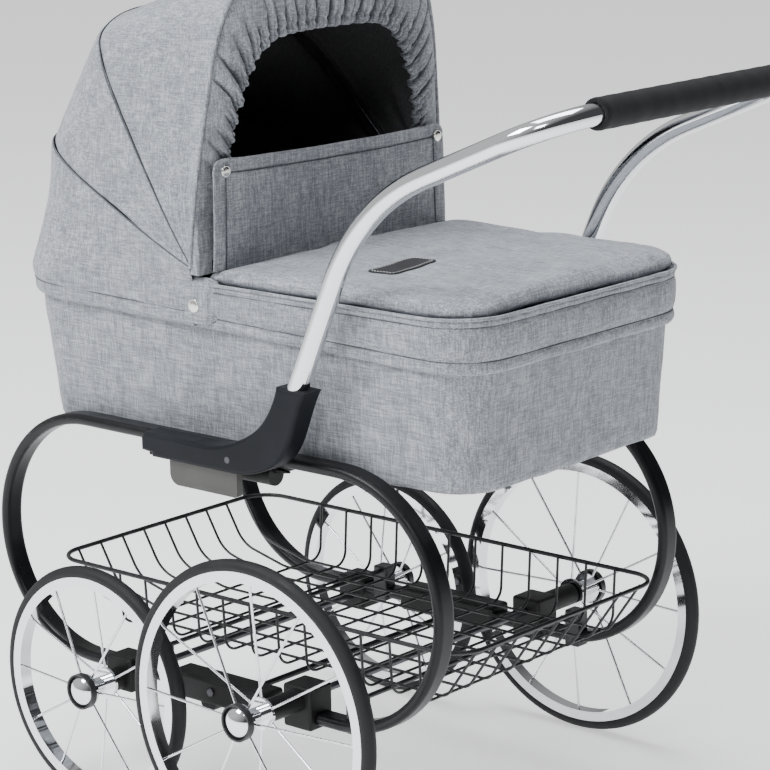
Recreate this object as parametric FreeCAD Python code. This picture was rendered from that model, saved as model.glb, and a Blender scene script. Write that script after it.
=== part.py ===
import FreeCAD, Part
import math
import os

os.makedirs("parts", exist_ok=True)

V = FreeCAD.Vector

# Driving dimensions, in millimetres. x = 0 is midway between the axles while a shape is drawn, +X runs
# towards the person who pushes, +Z is up, and every pair is built on the +Y side and mirrored to -Y.
LENGTH_CENTRE = 61.6          # the middle of the whole pram's length, moved to x = 0 on export
SIDES = {"right": 1, "left": -1}

AXLE_X = 95.5                 # each axle's distance from x = 0
REAR_RADIUS = 120.0
FRONT_RADIUS = 97.2
REAR_TRACK = 200.5            # wheel plane to the middle
FRONT_TRACK = 176.8
AXLE_RADIUS = 3.0
RUNNING_GAP = 0.05            # radial clearance of every turning fit

LOOP_Y = 138.0                # side loop, middle of its flat oval tube
LOOP_WIDE = 18.0
LOOP_THICK = 9.0
LOOP_END_X = 131.0
LOOP_BEND = 97.8
LOOP_Z = 203.3
LOOP_WALL = 1.2

PIVOT_X = 45.0                # handle pivot, on the top run of the loop
PIVOT_Z = LOOP_Z + LOOP_BEND
PIN_RADIUS = 2.5
HANDLE_Y = 157.6
TUBE_RADIUS = 8.0
TUBE_WALL = 1.2
GRIP_RADIUS = 11.5
ELBOW_INNER_Y = 148.2
ELBOW_OUTER_Y = 167.0
ELBOW_ROUND = 3.0

BASKET_Y = 124.0
BASKET_FRONT = -194.0
BASKET_REAR = 233.0
BASKET_TOP = 174.0
BASKET_FLOOR = 130.4
RIM_WIRE = 1.8
WIRE = 1.1

COT_BOTTOM = 293.5
COT_LIP = 388.0
COT_TOP = 424.0
COVER_TOP = 438.0

HOOD_X = -8.0
HOOD_Z = 437.0
HOOD_HALF = 146.0
HOOD_RADIUS = 223.0
ARCH_ANGLE = 86.0
MIDDLE_ANGLE = 128.0
LOW_ANGLE = 158.0
HOOD_HOLE = 12.0              # the hood's sides stop this far from the pivot
GORE = 1.6                    # hood fabric thickness
BOW_RADIUS = 1.6


def export(name, shape):
    moved = shape.copy()
    moved.translate(V(-LENGTH_CENTRE, 0, 0))
    moved.exportStep("parts/" + name + ".step")


def both_sides(name, shape):
    """Export a shape built at +Y as NAME_right and its mirror image as NAME_left."""
    export(name + "_right", shape)
    export(name + "_left", mirrored(shape))


def export_pairs(name, *shapes):
    """Export shapes built at +Y, each with its mirror image, as the separate solids of one node."""
    solids = []
    for shape in shapes:
        solids += [shape, mirrored(shape)]
    export(name, Part.Compound(solids))


def mirrored(shape):
    return shape.mirror(V(0, 0, 0), V(0, 1, 0))


def box(x0, x1, y0, y1, z0, z1):
    return Part.makeBox(x1 - x0, y1 - y0, z1 - z0, V(x0, y0, z0))


def rounded_box(x0, x1, y0, y1, z0, z1, radius):
    solid = box(x0, x1, y0, y1, z0, z1)
    return solid.makeFillet(radius, solid.Edges)


def along_y(radius, x, y0, y1, z):
    return Part.makeCylinder(radius, y1 - y0, V(x, y0, z), V(0, 1, 0))


def along_x(radius, x0, x1, y, z):
    return Part.makeCylinder(radius, x1 - x0, V(x0, y, z), V(1, 0, 0))


def rounded_path(points, radii):
    """A wire of straight runs through the points, with an arc of the given radius at each inner corner."""
    edges = []
    start = points[0]
    for corner, radius, following in zip(points[1:-1], radii, points[2:]):
        arriving = (corner - start).normalize()
        leaving = (following - corner).normalize()
        half_turn = arriving.getAngle(leaving) / 2
        reach = radius * math.tan(half_turn)
        arc_start = corner - arriving * reach
        arc_end = corner + leaving * reach
        inward = (leaving - arriving).normalize()
        arc_middle = corner + inward * (radius / math.cos(half_turn) - radius)
        edges.append(Part.LineSegment(start, arc_start).toShape())
        edges.append(Part.Arc(arc_start, arc_middle, arc_end).toShape())
        start = arc_end
    edges.append(Part.LineSegment(start, points[-1]).toShape())
    return Part.Wire(edges)


def swept(path, radius, start, direction):
    """A round bar along a path, from a circle set at start across direction."""
    circle = Part.Wire(Part.makeCircle(radius, start, direction))
    return path.makePipeShell([circle], True, False)


def pipe(path, radius):
    first = path.Edges[0]
    start = first.valueAt(first.FirstParameter)
    return swept(path, radius, start, first.tangentAt(first.FirstParameter))


def rounded_outline(x0, x1, half_width, radius, z):
    """A rounded rectangle, symmetric about y = 0, as a closed wire at height z."""
    turn = radius * (1 - math.sqrt(0.5))
    corners = ((x1, half_width, -1, -1), (x0, half_width, 1, -1), (x0, -half_width, 1, 1), (x1, -half_width, -1, 1))
    edges = []
    ends = []
    for index, (x, y, inward_x, inward_y) in enumerate(corners):
        on_side = V(x, y + inward_y * radius, z)
        on_end = V(x + inward_x * radius, y, z)
        middle = V(x + inward_x * turn, y + inward_y * turn, z)
        first, last = (on_side, on_end) if index % 2 == 0 else (on_end, on_side)
        ends.append((first, middle, last))
    for index, (first, middle, last) in enumerate(ends):
        following = ends[(index + 1) % 4][0]
        edges.append(Part.Arc(first, middle, last).toShape())
        edges.append(Part.LineSegment(last, following).toShape())
    return Part.Wire(edges)


def loft(*wires):
    return Part.makeLoft(list(wires), True, True)


# --- Side loops: a stadium of flat oval tube on each side, drilled for the handle's pivot pin.

def stadium(bend, half_width, round_over):
    straight = box(-LOOP_END_X, LOOP_END_X, LOOP_Y - half_width, LOOP_Y + half_width, LOOP_Z - bend, LOOP_Z + bend)
    front = along_y(bend, -LOOP_END_X, LOOP_Y - half_width, LOOP_Y + half_width, LOOP_Z)
    rear = along_y(bend, LOOP_END_X, LOOP_Y - half_width, LOOP_Y + half_width, LOOP_Z)
    solid = straight.fuse([front, rear]).removeSplitter()
    if round_over:
        flat = [e for e in solid.Edges if abs(e.BoundBox.YMax - e.BoundBox.YMin) < 0.01]
        solid = solid.makeFillet(round_over, flat)
    return solid


def flat_oval_ring(thick, wide):
    """The stadium-shaped ring of a flat oval bar, thick in the loop's plane and wide across it."""
    outer = stadium(LOOP_BEND + thick / 2, wide / 2, thick * 0.45)
    inner = stadium(LOOP_BEND - thick / 2, wide / 2 + 1, 0)
    ring = outer.cut(inner)
    inside = [e for e in ring.Edges if abs(e.BoundBox.YMax - e.BoundBox.YMin) < 0.01 and on_inner_run(e, thick)]
    return ring.makeFillet(thick * 0.45, inside)


def on_inner_run(edge, thick):
    middle = edge.valueAt((edge.FirstParameter + edge.LastParameter) / 2)
    beyond = max(abs(middle.x) - LOOP_END_X, 0)
    return math.hypot(beyond, middle.z - LOOP_Z) < LOOP_BEND - thick / 2 + 0.1


loop = flat_oval_ring(LOOP_THICK, LOOP_WIDE)
hollow = flat_oval_ring(LOOP_THICK - 2 * LOOP_WALL, LOOP_WIDE - 2 * LOOP_WALL)
pin_hole = along_y(PIN_RADIUS + RUNNING_GAP, PIVOT_X, LOOP_Y - 12, LOOP_Y + 12, PIVOT_Z)
loop_tube = loop.cut(hollow).cut(pin_hole)
both_sides("side_loop", loop_tube)

# --- Axles, their blocks and bushes, and the lower sleeves that join the two loops.

LOOP_LOW = LOOP_Z - LOOP_BEND
FRONT_AXLE_Z = FRONT_RADIUS
REAR_AXLE_Z = REAR_RADIUS
axles = {
    "front": (-AXLE_X, FRONT_AXLE_Z, FRONT_TRACK),
    "rear": (AXLE_X, REAR_AXLE_Z, REAR_TRACK),
}
block_heights = {"front": (87.0, 114.5), "rear": (97.0, 131.0)}
BLOCK_INNER_Y = 126.5
BLOCK_OUTER_Y = 152.0
BUSH_RADIUS = 9.0
HUB_INNER = 13.0              # from the wheel's plane to the hub's inner face
HUB_OUTER = 12.5              # from the wheel's plane to the hub's outer face

rods = []
bushes = []
for end, (x, z, track) in axles.items():
    rods.append(along_y(AXLE_RADIUS, x, -track - 10, track + 10, z))
    low, high = block_heights[end]
    block = rounded_box(x - 14, x + 14, BLOCK_INNER_Y, BLOCK_OUTER_Y, low, high, 2.5)
    block = block.cut(loop).cut(along_y(AXLE_RADIUS, x, 100, 240, z))
    export_pairs("axle_blocks_" + end, block)
    bush_end = track - HUB_INNER - 0.4
    bushes.append(along_y(BUSH_RADIUS, x, BLOCK_OUTER_Y, bush_end, z).cut(along_y(AXLE_RADIUS, x, 100, 240, z)))
export("axles", Part.Compound(rods))
export_pairs("axle_bushes", *bushes)

SLEEVE_FRONT = -40.0
SLEEVE_REAR = 60.0
SLEEVE_LOW = 95.5
SLEEVE_HIGH = 116.0
SLEEVE_SCREWS = (-30.0, 5.0, 49.0)
CROSSBAR_X = 5.0
sleeve = rounded_box(SLEEVE_FRONT, SLEEVE_REAR, 126.5, 150.5, SLEEVE_LOW, SLEEVE_HIGH, 3.0)
lobe = along_y(8.0, 0.0, 129.0, 149.0, SLEEVE_LOW + 2)
sleeve = sleeve.fuse(lobe).cut(loop).removeSplitter()
crossbar_hole = along_y(2.5, CROSSBAR_X, 100, 132, SLEEVE_LOW + 1)
sleeve = sleeve.cut(crossbar_hole)
export_pairs("lower_sleeves", sleeve)
export("lower_crossbar", along_y(2.5, CROSSBAR_X, -132, 132, SLEEVE_LOW + 1))

screws = []
for x in SLEEVE_SCREWS:
    screw = along_y(3.2, x, 150.5, 152.3, 106.5)
    screws.append(screw.makeFillet(0.8, [e for e in screw.Edges if e.BoundBox.YMin > 152.2]))
export_pairs("sleeve_screws", *screws)

# --- Cot supports: a barrel under each loop's top run, and two cross tubes that the cot rests on.

BARREL_Y = 137.0
BARREL_Z = 287.0
SUPPORT_Z = 288.4             # the tubes' tops reach the cot's underside
barrel = along_x(8.5, 27.0, 67.0, BARREL_Y, BARREL_Z)
saddle = box(30.0, 64.0, BARREL_Y - 7, BARREL_Y + 7, BARREL_Z, PIVOT_Z - 3)
barrel = barrel.fuse(saddle).cut(loop)
tab = Part.makeCone(3.0, 0.8, 14.0, V(67.0, BARREL_Y, BARREL_Z + 4), V(1, 0, 0))
barrel = barrel.fuse(tab).cut(along_y(5.0, 58.0, 100, 137, SUPPORT_Z))
hanger = box(-66.0, -54.0, 122.0, 138.0, SUPPORT_Z - 6, COT_BOTTOM - 0.3)
hanger = hanger.fuse(box(-66.0, -54.0, 128.6, 138.0, COT_BOTTOM - 1, PIVOT_Z)).removeSplitter().cut(loop)
hanger = hanger.cut(along_y(5.0, -60.0, 100, 130, SUPPORT_Z))
export_pairs("cot_mounts", barrel, hanger)
front_support = along_y(5.0, -60.0, -130, 130, SUPPORT_Z)
rear_support = along_y(5.0, 58.0, -137, 137, SUPPORT_Z)
export("cot_supports", Part.Compound([front_support, rear_support]))

# --- Basket: a rim, long wires that curve up at the front, cross wires with turned-up sides, thick bearers.

rim_path = rounded_outline(BASKET_FRONT, BASKET_REAR, BASKET_Y, 26.0, BASKET_TOP)
rim_start = rim_path.Edges[0].valueAt(rim_path.Edges[0].FirstParameter)
rim_direction = rim_path.Edges[0].tangentAt(rim_path.Edges[0].FirstParameter)
export("basket_rim", swept(rim_path, RIM_WIRE, rim_start, rim_direction))

LONG_WIRES = 9
LONG_PITCH = 25.0
inside_rim = RIM_WIRE + WIRE
wires = []
for index in range(LONG_WIRES):
    y = (index - (LONG_WIRES - 1) / 2) * LONG_PITCH
    path = rounded_path([
        V(BASKET_FRONT + inside_rim, y, BASKET_TOP),
        V(-172.0, y, 142.0),
        V(-124.0, y, BASKET_FLOOR),
        V(199.0, y, BASKET_FLOOR),
        V(BASKET_REAR - inside_rim, y, BASKET_TOP),
    ], [30.0, 40.0, 12.0])
    wires.append(pipe(path, WIRE))
export("basket_long_wires", Part.Compound(wires))

CROSS_WIRES = 12
CROSS_FIRST = -122.0
CROSS_PITCH = 28.4
UNDER = BASKET_FLOOR - 2 * WIRE - 0.05
wires = []
for index in range(CROSS_WIRES):
    x = CROSS_FIRST + index * CROSS_PITCH
    side_y = BASKET_Y - inside_rim
    path = rounded_path([
        V(x, -side_y, BASKET_TOP),
        V(x, -side_y + 3, UNDER),
        V(x, side_y - 3, UNDER),
        V(x, side_y, BASKET_TOP),
    ], [12.0, 12.0])
    wires.append(pipe(path, WIRE))
export("basket_cross_wires", Part.Compound(wires))

BEARERS = (-63.0, 142.0)
BEARER_Z = UNDER - WIRE - 2.05
bearers = []
for x in BEARERS:
    bearer = along_y(2.0, x, -LOOP_Y + 4, LOOP_Y - 4, BEARER_Z)
    clip = rounded_box(x - 7, x + 7, 127.5, 141.0, 99.0, BEARER_Z + 4, 1.5).cut(loop).cut(bearer)
    bearers += [bearer, clip, mirrored(clip)]
export("basket_bearers", Part.Compound(bearers))

# --- Handle: a U of chrome tube, its foam grip, and an elbow on each side that turns on a pin.

SOCKET_X = 97.0
SOCKET_Z = 334.2
CROSS_X = 345.0
CROSS_Z = 577.0
BEND_X = 173.0
BEND_Z = 504.5
handle_points = [
    V(SOCKET_X, -HANDLE_Y, SOCKET_Z),
    V(BEND_X, -HANDLE_Y, BEND_Z),
    V(CROSS_X, -HANDLE_Y, CROSS_Z),
    V(CROSS_X, HANDLE_Y, CROSS_Z),
    V(BEND_X, HANDLE_Y, BEND_Z),
    V(SOCKET_X, HANDLE_Y, SOCKET_Z),
]
handle_path = rounded_path(handle_points, [160.0, 46.0, 46.0, 160.0])
handle_solid = pipe(handle_path, TUBE_RADIUS)
handle_tube = handle_solid.cut(pipe(handle_path, TUBE_RADIUS - TUBE_WALL))
export("handle_tube", handle_tube)

slope = (V(CROSS_X, 0, CROSS_Z) - V(BEND_X, 0, BEND_Z)).normalize()
GRIP_TAIL = 62.0
grip_points = [
    V(CROSS_X, -HANDLE_Y, CROSS_Z) - slope * GRIP_TAIL,
    V(CROSS_X, -HANDLE_Y, CROSS_Z),
    V(CROSS_X, HANDLE_Y, CROSS_Z),
    V(CROSS_X, HANDLE_Y, CROSS_Z) - slope * GRIP_TAIL,
]
grip = pipe(rounded_path(grip_points, [46.0, 46.0]), GRIP_RADIUS).cut(handle_solid)
export("foam_grip", grip)

# The elbow's outline, from its front end along the top, up the arm and back down to the rear.
outline = [
    V(-46, 0, 305), V(-43, 0, 309.5), V(8, 0, 309), V(30, 0, 309.5), V(55, 0, 317), V(76, 0, 330),
    V(89, 0, 347), V(95.5, 0, 364), V(124.5, 0, 363), V(108, 0, 325), V(98, 0, 309), V(84, 0, 299),
    V(66, 0, 293), V(49, 0, 291), V(-35, 0, 291), V(-35, 0, 294), V(-46, 0, 295),
]
curve = Part.BSplineCurve()
curve.interpolate(outline[2:8])
edges = [Part.LineSegment(outline[0], outline[1]).toShape(), Part.LineSegment(outline[1], outline[2]).toShape()]
edges += [curve.toShape(), Part.LineSegment(outline[7], outline[8]).toShape()]
back = Part.BSplineCurve()
back.interpolate(outline[8:14])
edges += [back.toShape()]
edges += [Part.LineSegment(outline[i], outline[i + 1]).toShape() for i in range(13, 16)]
edges += [Part.LineSegment(outline[16], outline[0]).toShape()]
face = Part.Face(Part.Wire(edges))
elbow = face.extrude(V(0, ELBOW_OUTER_Y - ELBOW_INNER_Y, 0))
elbow.translate(V(0, ELBOW_INNER_Y, 0))
outer_rim = [e for e in elbow.Edges if e.BoundBox.YMin > ELBOW_OUTER_Y - 0.1]
elbow = elbow.makeFillet(ELBOW_ROUND, outer_rim)
elbow = elbow.cut(handle_solid).cut(along_y(PIN_RADIUS, PIVOT_X, 100, 180, PIVOT_Z))
both_sides("handle_elbow", elbow)
LOOP_INNER_Y = LOOP_Y - LOOP_WIDE / 2
pin = along_y(PIN_RADIUS, PIVOT_X, LOOP_INNER_Y - 0.7, ELBOW_OUTER_Y, PIVOT_Z)
pin = pin.fuse(along_y(3.6, PIVOT_X, LOOP_INNER_Y - 0.7, LOOP_INNER_Y, PIVOT_Z))
export_pairs("handle_pins", pin)

# Release plates: squeezed inwards under the elbows. Each turns on the top edge of its own plate.
PLATE_TOP = 290.6
PLATE_Y = 155.0
plate = box(-21, 49, PLATE_Y, PLATE_Y + 6, 271, PLATE_TOP)
front_corner = [e for e in plate.Edges if e.BoundBox.YLength > 5.9 and e.BoundBox.ZMax < 272 and e.BoundBox.XMax < 0]
plate = plate.makeFillet(9.0, front_corner)
rear_corner = [e for e in plate.Edges if e.BoundBox.YLength > 5.9 and e.BoundBox.ZMax < 272 and e.BoundBox.XMin > 48]
plate = plate.makeFillet(3.0, rear_corner)
both_sides("release_plate", plate)

# --- Wheels: tyre, rim, wire spokes, hub and a domed cap in a black ring, all turning on the axle.

TYRE_SECTION = 6.0
SPOKES = 12
HUB_BARREL = 6.5
FLANGE = 12.5


def wheel(prefix, x, z, side, track, radius):
    """One wheel, built about the Y axis at the origin with its outer face towards +Y, then moved out."""
    tyre_line = radius - TYRE_SECTION
    tyre = Part.makeTorus(tyre_line, TYRE_SECTION, V(0, 0, 0), V(0, 1, 0))
    rim_outer = radius - 8.0
    rim_inner = radius - 16.0
    rim = along_y(rim_outer, 0, -5.6, 5.6, 0).cut(along_y(rim_inner, 0, -6, 6, 0)).cut(tyre)
    hub = along_y(HUB_BARREL, 0, -HUB_INNER, HUB_OUTER, 0)
    for flange_y in (-HUB_INNER + 1.2, HUB_OUTER - 3.8):
        hub = hub.fuse(along_y(FLANGE, 0, flange_y, flange_y + 2.4, 0))
    hub = hub.cut(along_y(AXLE_RADIUS + RUNNING_GAP, 0, -20, 10.2, 0))
    spokes = []
    for number in range(SPOKES):
        turn = 2 * math.pi * number / SPOKES
        flange_y = (-HUB_INNER + 2.4) if number % 2 else (HUB_OUTER - 2.6)
        out = V(math.cos(turn), 0, math.sin(turn))
        root = out * (FLANGE + 0.05) + V(0, flange_y, 0)
        tip = out * (rim_inner - 0.12) + V(0, flange_y * 0.1, 0)
        spokes.append(Part.makeCylinder(1.0, (tip - root).Length, root, tip - root))
    ring = along_y(14.2, 0, HUB_OUTER, HUB_OUTER + 5.5, 0).cut(along_y(12.8, 0, HUB_OUTER - 1, HUB_OUTER + 7, 0))
    dome = Part.makeSphere(16.5, V(0, HUB_OUTER - 7.7, 0)).common(along_y(12.7, 0, HUB_OUTER + 0.05, HUB_OUTER + 12, 0))
    capped_hub = Part.Compound([hub, dome])
    pieces = {"tyre": tyre, "rim": rim, "spokes": Part.Compound(spokes), "hub": capped_hub, "cap_ring": ring}
    for name, shape in pieces.items():
        if side < 0:
            shape = mirrored(shape)
        moved = shape.copy()
        moved.translate(V(x, side * track, z))
        export(name + "_" + prefix, moved)


for end, radius in (("front", FRONT_RADIUS), ("rear", REAR_RADIUS)):
    x, z, track = axles[end]
    for side_name, side in SIDES.items():
        wheel(end + "_" + side_name, x, z, side, track, radius)

# --- Cot: a fabric-covered tub, its base board and mattress, the lip band and the padded cover.

tub_outer = loft(rounded_outline(-193, 243, 127.3, 34, COT_BOTTOM), rounded_outline(-206, 249, 133.5, 38, COT_LIP))
tub_inner = loft(rounded_outline(-189, 239, 123.3, 30, 297.5), rounded_outline(-202, 245, 129.5, 34, COT_LIP + 1))
export("cot_tub", tub_outer.cut(tub_inner))
base = loft(rounded_outline(-187, 237, 121.0, 28, 297.7), rounded_outline(-187, 237, 121.0, 28, 301.7))
export("base_board", base)
mattress = loft(rounded_outline(-185, 235, 119.0, 28, 302.0), rounded_outline(-185, 235, 119.0, 28, 332.0))
mattress = mattress.makeFillet(8.0, [e for e in mattress.Edges if e.BoundBox.ZLength < 0.1])
export("mattress", mattress)
band_outer = loft(rounded_outline(-214, 256, 138.5, 44, COT_LIP - 4), rounded_outline(-219, 256, 141.0, 46, COT_TOP))
band_inner = loft(rounded_outline(-203, 246, 130.2, 36, COT_LIP - 6), rounded_outline(-206, 246, 131.8, 36, COT_TOP + 2))
export("cot_band", band_outer.cut(band_inner).cut(tub_outer))

COVER_START = 7.0
cover = loft(rounded_outline(-219, 256, 141.0, 46, COT_TOP + 0.1), rounded_outline(-213, 250, 135.0, 44, COVER_TOP))
cover = cover.cut(box(-300, COVER_START, -200, 200, 400, 500))
export("cot_cover", cover)
LABEL_X = 129.0
LABEL_Y = -61.0
label = box(LABEL_X - 13.5, LABEL_X + 13.5, LABEL_Y - 26, LABEL_Y + 26, COVER_TOP, COVER_TOP + 0.8)
label = label.makeFillet(4.0, [e for e in label.Edges if abs(e.BoundBox.ZLength - 0.8) < 0.01])
export("cover_label", label)

# --- Hood: three wire bows on one pivot, fabric gores nested so that each slides inside the next, the arch
# panel with its window, and the flap that closes the window's lower half.


def side_profile(offset, first):
    """Half of a bow's outline in (y, distance from the pivot), moved inwards by offset."""
    points = [(146.0, first), (142.5, 60.0), (135.5, 110.0), (126.5, 160.0), (112.5, 193.0), (88.0, 213.0), (45.0, 221.5)]
    across = 1 - offset / HOOD_HALF
    along = 1 - offset / HOOD_RADIUS
    return [(y * across, r if r == first else r * along) for y, r in points]


def bow_curve(offset, first):
    half = side_profile(offset, first)
    top = [(0.0, HOOD_RADIUS - offset)]
    whole = half + top + [(-y, r) for y, r in reversed(half)]
    curve = Part.BSplineCurve()
    curve.interpolate([V(HOOD_X + r, y, HOOD_Z) for y, r in whole])
    return curve.toShape()


def turned(shape, angle):
    """Turn a shape drawn flat behind the pivot up to its angle, counted from +X towards +Z."""
    moved = shape.copy()
    moved.rotate(V(HOOD_X, 0, HOOD_Z), V(0, -1, 0), angle)
    return moved


def bow_face(outer_offset, inner_offset, first):
    outer = bow_curve(outer_offset, first)
    inner = bow_curve(inner_offset, first)
    ends = []
    for sign in (1, -1):
        a = V(HOOD_X + first, sign * side_profile(outer_offset, first)[0][0], HOOD_Z)
        b = V(HOOD_X + first, sign * side_profile(inner_offset, first)[0][0], HOOD_Z)
        ends.append(Part.LineSegment(a, b).toShape())
    return Part.Face(Part.Wire(Part.__sortEdges__([outer, ends[0], inner, ends[1]])))


def gore(offset, start_angle, end_angle):
    face = turned(bow_face(offset, offset + GORE, HOOD_HOLE), start_angle)
    return face.revolve(V(HOOD_X, 0, HOOD_Z), V(0, -1, 0), end_angle - start_angle)


def bow(offset, angle):
    """A wire bow with a flat eye round the pivot pin at each end."""
    curve = Part.Wire([bow_curve(offset, EYE_RADIUS - 1.0)])
    first = curve.Edges[0]
    start = first.valueAt(first.FirstParameter)
    circle = Part.Wire(Part.makeCircle(BOW_RADIUS, start, first.tangentAt(first.FirstParameter)))
    wire = curve.makePipeShell([circle], True, False)
    eye_y = side_profile(offset, EYE_RADIUS - 1.0)[0][0]
    for sign in (1, -1):
        middle = sign * eye_y
        eye = along_y(EYE_RADIUS, HOOD_X, middle - 1.4, middle + 1.4, HOOD_Z)
        wire = wire.fuse(eye)
    wire = wire.cut(along_y(PIVOT_PIN + RUNNING_GAP, HOOD_X, -160, 160, HOOD_Z))
    return turned(wire, angle)


EYE_RADIUS = 7.0
PIVOT_PIN = 3.0
LAYERS = {"low": 0.0, "middle": 2.2, "arch": 4.4}
BOWS = {"low": 5.7, "middle": 9.1, "arch": 12.5}

hood_base = gore(LAYERS["low"], LOW_ANGLE, 192.0)
hood_base = hood_base.cut(box(-400, 400, -300, 300, 200, COT_TOP + 0.4))
export("hood_base_fabric", hood_base)
export("hood_middle_fabric", gore(LAYERS["middle"], MIDDLE_ANGLE, LOW_ANGLE - 0.2))
export("hood_arch_fabric", gore(LAYERS["arch"], ARCH_ANGLE, MIDDLE_ANGLE - 0.2))
export("bow_low", bow(BOWS["low"], LOW_ANGLE))
export("bow_middle", bow(BOWS["middle"], MIDDLE_ANGLE))
arch_bow = bow(BOWS["arch"], ARCH_ANGLE + 2.0)
export("bow_arch", arch_bow)

# Pivot brackets: an upright plate riveted inside the lip, with the pin that all the bows turn on.
bracket = box(HOOD_X - 8, HOOD_X + 8, 127.3, 129.9, COT_LIP + 2, HOOD_Z + 8)
bracket = bracket.makeFillet(4.0, [e for e in bracket.Edges if e.BoundBox.YLength > 2.5])
for z, y in ((398.0, 130.7), (414.0, 131.2)):
    bracket = bracket.fuse(along_y(1.5, HOOD_X, 129.0, y, z))
bracket = bracket.fuse(along_y(PIVOT_PIN, HOOD_X, 129.0, 143.2, HOOD_Z))
bracket = bracket.fuse(along_y(6.0, HOOD_X, 142.4, 144.0, HOOD_Z)).removeSplitter()
export_pairs("hood_pivots", bracket)

# Arch panel: the gathered fabric round the window, flat in the arch's plane.
PANEL_OFFSET = 6.3
PANEL = 2.6
WINDOW_HALF = 106.0
WINDOW_TOP = 166.0            # from the pivot, along the arch
WINDOW_ROUND = 52.0
panel_outer = bow_curve(PANEL_OFFSET, HOOD_HOLE)
foot_y = side_profile(PANEL_OFFSET, HOOD_HOLE)[0][0]
foot = Part.LineSegment(V(HOOD_X + HOOD_HOLE, -foot_y, HOOD_Z), V(HOOD_X + HOOD_HOLE, foot_y, HOOD_Z)).toShape()
panel = Part.Face(Part.Wire([panel_outer, foot])).extrude(V(0, 0, -PANEL))
window = box(-400, HOOD_X + WINDOW_TOP, -WINDOW_HALF, WINDOW_HALF, HOOD_Z - 20, HOOD_Z + 20)
window_corners = [e for e in window.Edges if abs(e.BoundBox.ZLength - 40) < 0.1 and e.BoundBox.XMin > 0]
window = window.makeFillet(WINDOW_ROUND, window_corners)
panel = turned(panel.cut(window), ARCH_ANGLE)
panel = panel.cut(arch_bow)
export("arch_panel", panel)

# Window flap: hinged along its lower edge, closed over the lower half of the window by two snaps.
FLAP_X = 8.0
FLAP_LOW = 441.0
FLAP_HIGH = 511.0
FLAP_THICK = 2.4
flap_wire = Part.makePolygon([
    V(FLAP_X, -134.0, FLAP_LOW), V(FLAP_X, 134.0, FLAP_LOW), V(FLAP_X, 130.5, FLAP_HIGH),
    V(FLAP_X, -130.5, FLAP_HIGH), V(FLAP_X, -134.0, FLAP_LOW),
])
flap = Part.Face(flap_wire).extrude(V(FLAP_THICK, 0, 0))
export("window_flap", flap)
flap_snaps = []
for y in (-122.0, 122.0):
    flap_snaps.append(along_x(4.2, FLAP_X + FLAP_THICK, FLAP_X + FLAP_THICK + 1.6, y, FLAP_HIGH - 7))
export("flap_snaps", Part.Compound(flap_snaps))

# Snap tabs: a short strap over the lip under each pivot.
tab_plate = rounded_box(-20.0, 4.0, 141.2, 143.4, 396.0, COT_TOP - 1, 1.0)
export_pairs("snap_tabs", tab_plate)
export_pairs("tab_snaps", along_y(5.0, -7.5, 143.4, 145.2, 408.0))
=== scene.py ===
import math
import random
import bpy
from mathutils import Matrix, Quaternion, Vector, noise
from mathutils.bvhtree import BVHTree


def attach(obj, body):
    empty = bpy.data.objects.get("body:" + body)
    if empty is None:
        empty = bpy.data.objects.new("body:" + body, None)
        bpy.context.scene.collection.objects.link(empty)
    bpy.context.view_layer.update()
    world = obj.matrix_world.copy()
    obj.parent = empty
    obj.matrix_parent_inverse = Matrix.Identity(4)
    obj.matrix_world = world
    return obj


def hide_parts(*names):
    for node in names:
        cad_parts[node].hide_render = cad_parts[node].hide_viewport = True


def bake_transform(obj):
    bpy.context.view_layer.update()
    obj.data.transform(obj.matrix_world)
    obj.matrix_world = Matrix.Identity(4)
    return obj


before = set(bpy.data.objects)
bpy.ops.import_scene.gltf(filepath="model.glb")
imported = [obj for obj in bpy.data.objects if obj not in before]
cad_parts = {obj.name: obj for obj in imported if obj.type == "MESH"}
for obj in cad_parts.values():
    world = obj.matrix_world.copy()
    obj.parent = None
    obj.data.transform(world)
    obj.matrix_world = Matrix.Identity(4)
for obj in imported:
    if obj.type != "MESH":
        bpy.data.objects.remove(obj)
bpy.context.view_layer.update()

bpy.ops.object.select_all(action="DESELECT")

# ---------------------------------------------------------------- Studio
# A plain pale floor under soft light from above and a stronger key on the left, so the sides are bright and
# the faces turned to the handle are in shade. The long lens stands just above the pram's own height.
look_at = Vector((-0.0043, 0.0, 0.3288))
azimuth, elevation, distance, roll = math.radians(40.877), math.radians(13.198), 2.3182, math.radians(-0.953)
back = Vector((
    math.sin(azimuth) * math.cos(elevation), -math.cos(azimuth) * math.cos(elevation), math.sin(elevation)
))
aim = (-back).to_track_quat("-Z", "Y") @ Quaternion((0, 0, 1), roll)
bpy.ops.object.camera_add(location=look_at + back * distance, rotation=aim.to_euler())
camera = bpy.context.object
camera.data.lens = 138.94
camera.data.sensor_width = 36
bpy.context.scene.camera = camera

bpy.ops.mesh.primitive_plane_add(size=60, location=(0, 0, -0.0003))
floor = bpy.context.object
floor.name = "studio_floor"
pale = bpy.data.materials.new("pale_floor")
pale.use_nodes = True
pale.node_tree.nodes["Principled BSDF"].inputs["Base Color"].default_value = (0.93, 0.93, 0.93, 1)
pale.node_tree.nodes["Principled BSDF"].inputs["Roughness"].default_value = 0.7
pale.node_tree.nodes["Principled BSDF"].inputs["Emission Color"].default_value = (1, 1, 1, 1)
pale.node_tree.nodes["Principled BSDF"].inputs["Emission Strength"].default_value = 0.70
floor.data.materials.append(pale)

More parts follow.
